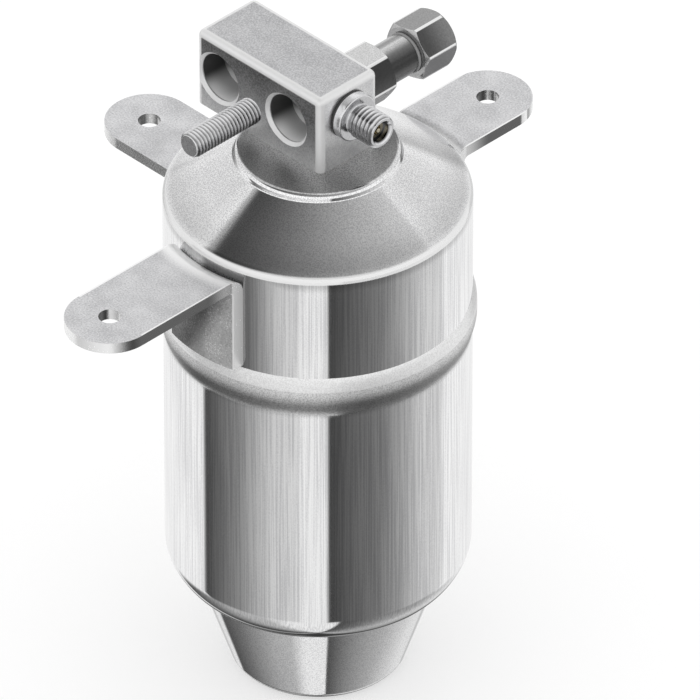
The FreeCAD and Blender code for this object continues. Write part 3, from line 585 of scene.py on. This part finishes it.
# %% [markdown]
# ### Pieces inside and between
# Brass cores, springs, rubber seals and the desiccant pack are mostly hidden, but each still has the
# finish that its real piece has. The weld is paler than the sheet and rippled, and the gasket that looks
# out of the cap is a lighter rubber than the washers.

# %% Inner metals
def grained_metal(name, scale, low, high, smoothest, spread):
    """Bare metal whose tone and sheen vary only with its grain."""
    tree, spot = new_finish(name)
    grain = noise(spot, scale)
    coat_with(tree, {"Base Color": tint(grain, low, high), "Metallic": 1.0,
                     "Roughness": smoothest + grain * spread})


grained_metal("core_brass", 1500, (0.50, 0.45, 0.33), (0.68, 0.62, 0.48), 0.2, 0.1)
grained_metal("spring_steel", 1500, (0.45, 0.46, 0.47), (0.60, 0.61, 0.62), 0.25, 0.1)
grained_metal("inner_steel", (700, 700, 90), (0.55, 0.56, 0.57), (0.72, 0.73, 0.74), 0.28, 0.12)

tree, spot = new_finish("weld_steel")
ripple = tree.fade(noise(spot, 2600), 0.30, 0.70)
coat_with(tree, {"Base Color": tint(ripple, 0.70, 0.90), "Metallic": 0.5, "Roughness": 0.36,
                 "Normal": bump(ripple, 0.01)})
print("finishes so far:", len(finishes))

# %% Rubber, felt and beads
tree, spot = new_finish("seal_rubber")
grain = noise(spot, 2500)
at_cap = rise(tree.along(spot, BACK), VALVE_AT[1] + 22.4, VALVE_AT[1] + 23.4)
coat_with(tree, {"Base Color": tint(at_cap, tint(grain, 0.02, 0.05), 0.26), "Roughness": 0.55 + grain * 0.2,
                 "Normal": bump(grain, 0.02)})

tree, spot = new_finish("filter_felt")
fibres = noise(spot, (900, 900, 2500), 6.0)
coat_with(tree, {"Base Color": tint(fibres, (0.62, 0.61, 0.56), (0.90, 0.89, 0.84)), "Roughness": 0.95,
                 "Normal": bump(fibres, 0.3)})

tree, spot = new_finish("desiccant_beads")
beads = tree.add("ShaderNodeTexVoronoi", None, {"Vector": spot, "Scale": 450.0}, out="Distance")
coat_with(tree, {"Base Color": tint(beads, (0.80, 0.70, 0.56), (0.35, 0.28, 0.20)), "Roughness": 0.8,
                 "Normal": bump(1 - beads, 1.0)})
print("all finishes:", sorted(finishes))

# %% [markdown]
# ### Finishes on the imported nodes
# The record names a finish for every node. The nodes that no new piece stands for keep their shape and
# only take that finish here.

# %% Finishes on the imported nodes
for entry in frame["record"]["subparts"]:
    piece = nodes[entry["node"]]
    piece.data.materials.clear()
    piece.data.materials.append(finishes[entry["material_slot"]])
print(len(finishes), "finishes on", len(nodes), "nodes")

# %% [markdown]
# ## Turned pieces
# Anything round starts as one ring of vertices. The ring is extruded and scaled from corner to corner
# of the outline, as sheet is drawn over a mandrel, and each corner ring is then bevelled to its
# radius. That keeps the rings even, and even rings give a smooth reflection.

# %% Selecting
def select_only(piece):
    bpy.ops.object.select_all(action="DESELECT")
    piece.select_set(True)
    bpy.context.view_layer.objects.active = piece


def begin_editing(piece):
    select_only(piece)
    bpy.ops.object.mode_set(mode="EDIT")


def settle(name):
    """Names the primitive that was just added and moves its place into its mesh."""
    piece = bpy.context.object
    piece.name = name
    bpy.ops.object.transform_apply(location=True, rotation=True, scale=True)
    return piece


def select_ring(piece, radius, height):
    """Selects the edges that go round the Z axis at a radius and height, in millimetres."""
    mesh = bmesh.from_edit_mesh(piece.data)
    tolerance = 0.002 * MM
    for face in mesh.faces:
        face.select = False
    for edge in mesh.edges:
        edge.select = all(abs(end.co.z - height * MM) < tolerance
                          and abs(math.hypot(end.co.x, end.co.y) - radius * MM) < tolerance
                          for end in edge.verts)
    for vertex in mesh.verts:
        vertex.select = any(edge.select for edge in vertex.link_edges)
    bmesh.update_edit_mesh(piece.data)


# %% Turning
def setback_at(corners, index):
    """How far a corner's rounding reaches along its two sides."""
    before, here, after = corners[index - 1], corners[index], corners[index + 1]
    back = Vector((before[0] - here[0], before[1] - here[1]))
    ahead = Vector((after[0] - here[0], after[1] - here[1]))
    return here[2] / math.tan(back.angle(ahead) / 2)


def turn_piece(name, corners, count=96, top=False, bottom=False, closed=False):
    """Turned surface through corners of radius, height and, where round, rounding and segments."""
    corners = [(*corner, 0, 0)[:4] for corner in corners]
    if closed:
        corners = corners + [corners[0]]
    bpy.ops.object.select_all(action="DESELECT")
    bpy.ops.mesh.primitive_circle_add(vertices=count, radius=corners[0][0] * MM,
                                      location=(0, 0, corners[0][1] * MM),
                                      fill_type="NGON" if bottom else "NOTHING")
    piece = settle(name)
    begin_editing(piece)
    bpy.ops.mesh.select_mode(type="EDGE")
    for before, after in zip(corners, corners[1:]):
        select_ring(piece, before[0], before[1])
        bpy.ops.mesh.extrude_edges_move(TRANSFORM_OT_translate={"value": (0, 0, (after[1] - before[1]) * MM)})
        grow = after[0] / before[0]
        bpy.ops.transform.resize(value=(grow, grow, 1), center_override=(0, 0, after[1] * MM))
    if top:
        select_ring(piece, corners[-1][0], corners[-1][1])
        bpy.ops.mesh.edge_face_add()
    if closed:
        bpy.ops.mesh.select_all(action="SELECT")
        bpy.ops.mesh.remove_doubles(threshold=0.001 * MM)
    for index, (radius, height, rounding, segments) in enumerate(corners[1:-1], start=1):
        if rounding > 0:
            select_ring(piece, radius, height)
            bpy.ops.mesh.bevel(offset=setback_at(corners, index) * MM, offset_type="OFFSET",
                               segments=segments, profile=0.5, affect="EDGES", clamp_overlap=False)
    bpy.ops.mesh.select_all(action="SELECT")
    bpy.ops.mesh.normals_make_consistent(inside=False)
    bpy.ops.object.mode_set(mode="OBJECT")
    return piece


def solid_turning(name, corners, count=96):
    """Turned piece that is closed at both ends."""
    return turn_piece(name, corners, count, top=True, bottom=True)


# %% [markdown]
# ## Modifiers, cuts and finishing
# What the lathe can't do is left to modifiers, which are applied at once so that each piece ends as a
# plain mesh. A cutter is made as a solid, put in its place, subtracted and thrown away, like a drill.
# A finished piece is shaded smooth up to a sharp angle, and then takes the finish, the body it rides on
# and the CAD nodes that it stands for.

# %% Modifiers and cuts
def apply_modifier(piece, kind, **settings):
    select_only(piece)
    modifier = piece.modifiers.new(kind.lower(), kind)
    for key, value in settings.items():
        setattr(modifier, key, value)
    bpy.ops.object.modifier_apply(modifier=modifier.name)


def cut(piece, tool, operation="DIFFERENCE"):
    """Boolean of a piece with a tool that is then thrown away."""
    apply_modifier(piece, "BOOLEAN", operation=operation, object=tool, solver="EXACT")
    bpy.data.objects.remove(tool)


# %% Placing, softening and finishing
def put(piece, place, toward):
    """Takes a piece that was made along Z to its place, with its Z turned to a direction."""
    select_only(piece)
    piece.rotation_euler = Vector(UP).rotation_difference(Vector(toward)).to_euler()
    piece.location = Vector(place) * MM
    bpy.ops.object.transform_apply(location=True, rotation=True)
    return piece


def soften(piece, width, segments=3, angle=40):
    """Merges flat faces that lie in one plane and rounds the sharp edges between them."""
    begin_editing(piece)
    bpy.ops.mesh.select_all(action="SELECT")
    bpy.ops.mesh.remove_doubles(threshold=0.002 * MM)
    bpy.ops.mesh.dissolve_limited(angle_limit=math.radians(0.3))
    bpy.ops.object.mode_set(mode="OBJECT")
    apply_modifier(piece, "BEVEL", width=width * MM, segments=segments, limit_method="ANGLE",
                   angle_limit=math.radians(angle))


def finish_piece(piece, finish, body, *replaced, sharp=35):
    """Smooth shading but for sharp edges, then the finish, the body and the nodes it stands for."""
    select_only(piece)
    bpy.ops.object.shade_smooth_by_angle(angle=math.radians(sharp))
    apply_modifier(piece, "WEIGHTED_NORMAL", keep_sharp=True)
    piece.data.materials.clear()
    piece.data.materials.append(finishes[finish])
    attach(piece, body)
    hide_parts(*replaced)
    print(piece.name, len(piece.data.polygons), "faces")


# %% [markdown]
# ## The can
# Two drawn shells: the lower one with its tapered sump and a bell at the mouth, the upper one with the
# rolled rim, the cone and the collar that the block sits on. Both are drawn as one outer skin and then
# given the sheet's thickness inwards.

# %% Lower and upper shell
WALL = 1.2
RING_COUNT = 256
FOOT_R = 25.4
SUMP_TOP_R = 36.0
SHOULDER_SLOPE = math.radians(20)
SHOULDER_Z = round(SUMP_TOP + (CAN_R - SUMP_TOP_R) * math.tan(SHOULDER_SLOPE), 4)
BELL_START, BELL_FULL = 118.7, 123.2
CONE_TOP = 178.8
INNER_RING_R = 10.0

lower_shell = turn_piece("lower_shell_drawn", [
    (INNER_RING_R, 0), (FOOT_R, 0, 5.0, 12), (SUMP_TOP_R, SUMP_TOP, 1.0, 4), (CAN_R, SHOULDER_Z, 12.0, 14),
    (CAN_R, BELL_START, 7.0, 6), (BELL_R, BELL_FULL, 7.0, 6), (BELL_R, BELL_TOP)], RING_COUNT, bottom=True)
upper_shell = turn_piece("upper_shell_drawn", [
    (CAN_R, LAP_FOOT), (CAN_R, RIM_Z, 2.2, 10), (COLLAR_R, CONE_TOP, 0.6, 5), (COLLAR_R, CAN_TOP, 1.8, 10),
    (INNER_RING_R, CAN_TOP)], RING_COUNT, top=True)
for shell, node in [(lower_shell, "lower_shell"), (upper_shell, "upper_shell")]:
    apply_modifier(shell, "SOLIDIFY", thickness=WALL * MM, offset=-1)
    finish_piece(shell, "can_steel", "housing", node)

# %% [markdown]
# ## The seam weld
# Where the bell ends, a weld fills the step between the two shells. It is a ring with a crowned face:
# its outline is turned like the shells' and closed on itself.

# %% Seam weld
WELD_CROWN_Z = 129.33

seam_weld = turn_piece("seam_weld_bead", [
    (CAN_R, BELL_TOP), (BELL_R, BELL_TOP), (BELL_R, WELD_CROWN_Z, 7.9, 10), (CAN_R, WELD_TOP)],
    RING_COUNT, closed=True)
finish_piece(seam_weld, "weld_steel", "housing", "seam_weld")

# %% [markdown]
# ## The brackets
# Each bracket is one strip of 3.5 mm steel: a flat tab with a round end and a bolt hole, and a leg that
# is bent down and rolled to the can. Its section is turned round the can, which gives the bend and the
# rolled leg at once, and is then cut out with a punch in the tab's plan shape, as a press would do. The
# packed tab tells how far each one reaches and how high it sits.

# %% Bars and rods
def rod(name, radius, place, toward, low, high, count=64):
    """Cylinder along a direction from a place, between two distances, in millimetres."""
    bpy.ops.object.select_all(action="DESELECT")
    bpy.ops.mesh.primitive_cylinder_add(vertices=count, radius=radius * MM, depth=(high - low) * MM,
                                        location=(0, 0, (high + low) / 2 * MM))
    return put(settle(name), place, toward)


def bar(name, low, high):
    """Box between two corners, in millimetres."""
    bpy.ops.object.select_all(action="DESELECT")
    bpy.ops.mesh.primitive_cube_add(size=1, location=(Vector(low) + Vector(high)) / 2 * MM,
                                    scale=(Vector(high) - Vector(low)) * MM)
    return settle(name)


# %% Three brackets
BOLT_HOLE_R = 3.3


def make_bracket(side, angle):
    tab_low, tab_high = box_of(f"{side}_bracket_tab")
    top = tab_high[2]
    half = BRACKET_WIDTH / 2
    reach = max(abs(c) for c in tab_low[:2] + tab_high[:2]) - half
    bracket = turn_piece(f"{side}_bracket_sheet", [
        (CAN_R, BRACKET_FOOT), (LEG_R, BRACKET_FOOT), (LEG_R, top - SHEET, 1.5, 8), (reach + 20, top - SHEET),
        (reach + 20, top), (CAN_R, top, 5.0, 12)], RING_COUNT, closed=True)
    punch = bar("punch", (30, -half, BRACKET_FOOT - 5), (reach, half, top + 5))
    cut(punch, rod("punch_tip", half, (reach, 0, 0), UP, BRACKET_FOOT - 5, top + 5, 96), "UNION")
    cut(bracket, punch, "INTERSECT")
    cut(bracket, rod("bolt_hole", BOLT_HOLE_R, (reach, 0, top), UP, -8, 5))
    soften(bracket, 0.5)
    bracket.rotation_euler = (0, 0, math.radians(angle))
    bpy.ops.object.transform_apply(rotation=True)
    finish_piece(bracket, "bracket_steel", "housing", f"{side}_bracket_tab", f"{side}_bracket_leg")


for side, angle in [("front", -90), ("left", 180), ("rear", 90)]:
    make_bracket(side, angle)

# %% [markdown]
# ## The connector block
# The block is cut from a bar and tumbled, so that its edges are round. It starts as a cube at its real
# size, its edges are rounded, and the ports and passages are then drilled into it with turned cutters,
# from the widest to the finest.

# %% Block with rounded edges
BOSS_R = 11.0
BOSS_AT = (-8.6, NIPPLE_AT[1], 0)

block = bar("connector_block_milled", BLOCK_LOW, BLOCK_HIGH)
begin_editing(block)
bpy.ops.mesh.select_mode(type="EDGE")
mesh = bmesh.from_edit_mesh(block.data)
for edge in mesh.edges:
    edge.select = any(end.co.z > (BLOCK_HIGH[2] - 1) * MM for end in edge.verts)
bmesh.update_edit_mesh(block.data)
bpy.ops.mesh.bevel(offset=BLOCK_EDGE * MM, offset_type="OFFSET", segments=8, profile=0.5, affect="EDGES")
bpy.ops.object.mode_set(mode="OBJECT")
cut(block, rod("boss", BOSS_R, BOSS_AT, UP, BOSS_FOOT, CAN_TOP + 1), "UNION")
print("block before drilling:", len(block.data.polygons), "faces")

# %% Ports and passages
TUBE_TOP = box_of("pickup_tube")[1][2]
SEAL_LOW, SEAL_HIGH = [corner[2] for corner in box_of("tube_seal")]
BELOW_BLOCK = BOSS_FOOT - 0.8
DROP_X = -14.0
CORE_PASSAGE_R = 1.6

for port_x in PORTS_X:
    port = solid_turning("port_cutter", [
        (PORT_R + 1.5, -0.5), (PORT_R, 1.0, 0.4, 4), (PORT_R, 9.5), (6.2, 10.8), (6.2, 13.0), (4.5, 13.0),
        (4.5, 15.5)])
    cut(block, put(port, (port_x, BLOCK_LOW[1], PORT_Z), BACK))
for bore in [
    rod("stud_hole", STUD_CREST, STUD_AT, BACK, -1, 11.0),
    rod("cross_drilling", 3.5, (BLOCK_LOW[0], DRILLING_Y, PORT_Z), RIGHT, -1, 29.4),
    rod("drop_drilling", 3.0, (DROP_X, DRILLING_Y, 0), UP, BELOW_BLOCK, PORT_Z),
    rod("tube_socket", 4.0, (TUBE_X, TUBE_Y, 0), UP, BELOW_BLOCK, TUBE_TOP),
    rod("seal_groove", 5.2, (TUBE_X, TUBE_Y, 0), UP, SEAL_LOW, SEAL_HIGH),
    rod("tube_passage", 3.0, (TUBE_X, TUBE_Y, 0), UP, 184, PORT_Z),
    rod("nipple_socket", 4.5, NIPPLE_AT, LEFT, -1, 5.5),
    rod("nipple_passage", CORE_PASSAGE_R, NIPPLE_AT, LEFT, 5, 14.0),
    rod("valve_socket", 4.5, VALVE_AT, FRONT, -1, 6.5),
    rod("valve_passage", CORE_PASSAGE_R, VALVE_AT, FRONT, 6, 8.5),
]:
    cut(block, bore)
finish_piece(block, "block_alloy", "housing", "connector_block", sharp=30)

# %% [markdown]
# ## Screw threads
# A thread is one tooth of its outline, wound up a helix. The tooth is drawn as a line of five points,
# whose steps `TOOTH` gives in parts of the thread's depth and pitch. The Screw modifier winds it, and
# both ends are cut flat. A turned envelope then takes off what stands beyond the bar, which leaves the
# chamfer that every screw starts with. The stud is hidden from reflected rays, because the drawing shows
# no image of it in the block beside it.

# %% Thread maker
TOOTH = [(0, 0.125), (-1, 0.3125), (0, 0.25), (1, 0.3125)]


def thread(name, crest, root, pitch, low, high, steps=48):
    """Threaded rod along Z between two heights, in millimetres."""
    bpy.ops.object.select_all(action="DESELECT")
    bpy.ops.mesh.primitive_plane_add(size=0.1 * MM, location=(crest * MM, 0, (low - pitch) * MM))
    piece = settle(name)
    begin_editing(piece)
    bpy.ops.mesh.select_mode(type="VERT")
    bpy.ops.mesh.select_all(action="SELECT")
    bpy.ops.mesh.merge(type="CENTER")
    for outwards, upwards in TOOTH:
        bpy.ops.mesh.extrude_vertices_move(
            TRANSFORM_OT_translate={"value": (outwards * (crest - root) * MM, 0, upwards * pitch * MM)})
    bpy.ops.object.mode_set(mode="OBJECT")
    apply_modifier(piece, "SCREW", axis="Z", screw_offset=pitch * MM, steps=steps, render_steps=steps,
                   iterations=math.ceil((high - low) / pitch) + 2,
                   use_merge_vertices=True, merge_threshold=0.001 * MM)
    begin_editing(piece)
    bpy.ops.mesh.select_all(action="SELECT")
    bpy.ops.mesh.remove_doubles(threshold=0.001 * MM)
    bpy.ops.mesh.bisect(plane_co=(0, 0, low * MM), plane_no=UP, use_fill=True, clear_inner=True)
    bpy.ops.mesh.select_all(action="SELECT")
    bpy.ops.mesh.bisect(plane_co=(0, 0, high * MM), plane_no=UP, use_fill=True, clear_outer=True)
    bpy.ops.mesh.select_all(action="SELECT")
    bpy.ops.mesh.normals_make_consistent(inside=False)
    bpy.ops.object.mode_set(mode="OBJECT")
    return piece


# %% Clamp stud
stud = thread("clamp_stud_threaded", STUD_CREST, STUD_ROOT, pitch=1.25, low=-11.6, high=25.4)
cut(stud, solid_turning("envelope", [(3.2, -11.0), (4.1, -10.1), (4.1, 23.9), (3.2, 24.8)]), "INTERSECT")
put(stud, STUD_AT, FRONT)
stud.visible_glossy = False
finish_piece(stud, "fitting_steel", "housing", "clamp_stud", sharp=25)

# %% [markdown]
# ## The switch nipple
# A turned flange seats on its seal, and a short thread takes the pressure switch. Thread, flange and
# tail are joined into one solid, which is then bored for the valve core.

# %% Switch nipple
def core_bore(end, foot):
    """Stepped hole for a valve core: drilling, core seat and a chamfered mouth."""
    room = end - 13.7
    return solid_turning("core_bore", [
        (CORE_PASSAGE_R, foot - 1), (CORE_PASSAGE_R, room), (2.6, room), (2.6, end - 2.5),
        (3.1, end - 2.5), (3.1, end - 0.7), (4.1, end + 0.3)], 48)


nipple = thread("switch_nipple_threaded", NIPPLE_CREST, NIPPLE_ROOT, pitch=1.5, low=3.9, high=14.0)
cut(nipple, solid_turning("envelope", [(4.0, 4.3), (5.4, 5.7), (5.4, 12.55), (4.45, 13.5)], 90), "INTERSECT")
flange = solid_turning("nipple_flange", [
    (4.5, -5.0), (4.5, 0.9), (7.3, 0.9, 0.2, 3), (7.3, 3.6, 0.5, 5), (4.5, 3.6, 0.3, 3), (4.5, 5.25)])
cut(nipple, flange, "UNION")
cut(nipple, core_bore(end=13.5, foot=-5.0))
put(nipple, NIPPLE_AT, RIGHT)
finish_piece(nipple, "fitting_steel", "housing", "switch_nipple", sharp=25)

# %% [markdown]
# ## The service valve and its cap
# Both start as hexagon bar. Turning takes the bar's corners off at its ends, which leaves the curved
# edges that every nut shows, and here this is the common part of the bar and a turned envelope.

# %% Hexagon bar
FLATS = 16.0


def hexagon(name, outline, low, high, turn):
    """Hexagonal bar along Z whose ends follow a turned outline, with its long edges softened."""
    bpy.ops.object.select_all(action="DESELECT")
    bpy.ops.mesh.primitive_cylinder_add(vertices=6, radius=FLATS / math.sqrt(3) * MM,
                                        depth=(high - low) * MM, location=(0, 0, (high + low) / 2 * MM),
                                        rotation=(0, 0, math.radians(turn - 30)))
    piece = settle(name)
    cut(piece, solid_turning("envelope", outline, 192), "INTERSECT")
    soften(piece, 0.3, segments=4, angle=25)
    return piece


# %% Service valve
valve = hexagon("service_valve_hexagon", [(9.3, 0.9), (9.3, 12.3), (7.76, 13.2)],
                low=0.4, high=13.8, turn=4.0)
neck = solid_turning("valve_neck", [(4.5, -6.0), (4.5, 1.5), (6.2, 1.5), (6.2, 24.2, 0.4, 4), (3.0, 24.2)])
cut(valve, neck, "UNION")
valve_thread = thread("valve_thread", crest=5.0, root=4.25, pitch=1.25, low=23.6, high=34.4)
thread_room = solid_turning("envelope", [(4.0, 23.8), (5.1, 24.9), (5.1, 33.0), (4.3, 33.8)])
cut(valve_thread, thread_room, "INTERSECT")
cut(valve, valve_thread, "UNION")
cut(valve, core_bore(end=33.8, foot=-6.0))
put(valve, VALVE_AT, BACK)
finish_piece(valve, "cap_steel", "housing", "service_valve_body", sharp=25)

# %% Service cap
cap = hexagon("service_cap_hexagon", [(7.76, 25.2), (9.3, 26.1), (9.3, 37.9, 2.6, 8), (6.4, 37.9)],
              low=24.8, high=38.3, turn=-11.0)
cut(cap, solid_turning("cap_bore", [(5.8, 24.0), (5.8, 26.2), (5.15, 26.2), (5.15, 34.4)]))
put(cap, VALVE_AT, BACK)
finish_piece(cap, "cap_steel", "service_cap", "service_cap", sharp=25)

# %% [markdown]
# ## Rubber seals
# A seal under a flange is squeezed a little, so its rim bulges. The rings are turned with a round edge.

# %% Washers and gasket
def seal_ring(name, outer, inner, low, high, place, toward, body, node):
    rounding = (high - low) * 0.45
    ring = turn_piece(name, [(inner, low), (outer, low, rounding, 5), (outer, high, rounding, 5),
                             (inner, high)], closed=True)
    put(ring, place, toward)
    finish_piece(ring, "seal_rubber", body, node)


seal_ring("switch_washer_rubber", 7.3, 4.5, 0, 0.9, NIPPLE_AT, RIGHT, "housing", "switch_washer")
seal_ring("service_washer_rubber", 8.0, 4.5, 0, 0.9, VALVE_AT, BACK, "housing", "service_washer")
seal_ring("cap_gasket_rubber", 6.4, 5.15, 24.2, 25.2, VALVE_AT, BACK, "cap_gasket", "service_cap_gasket")
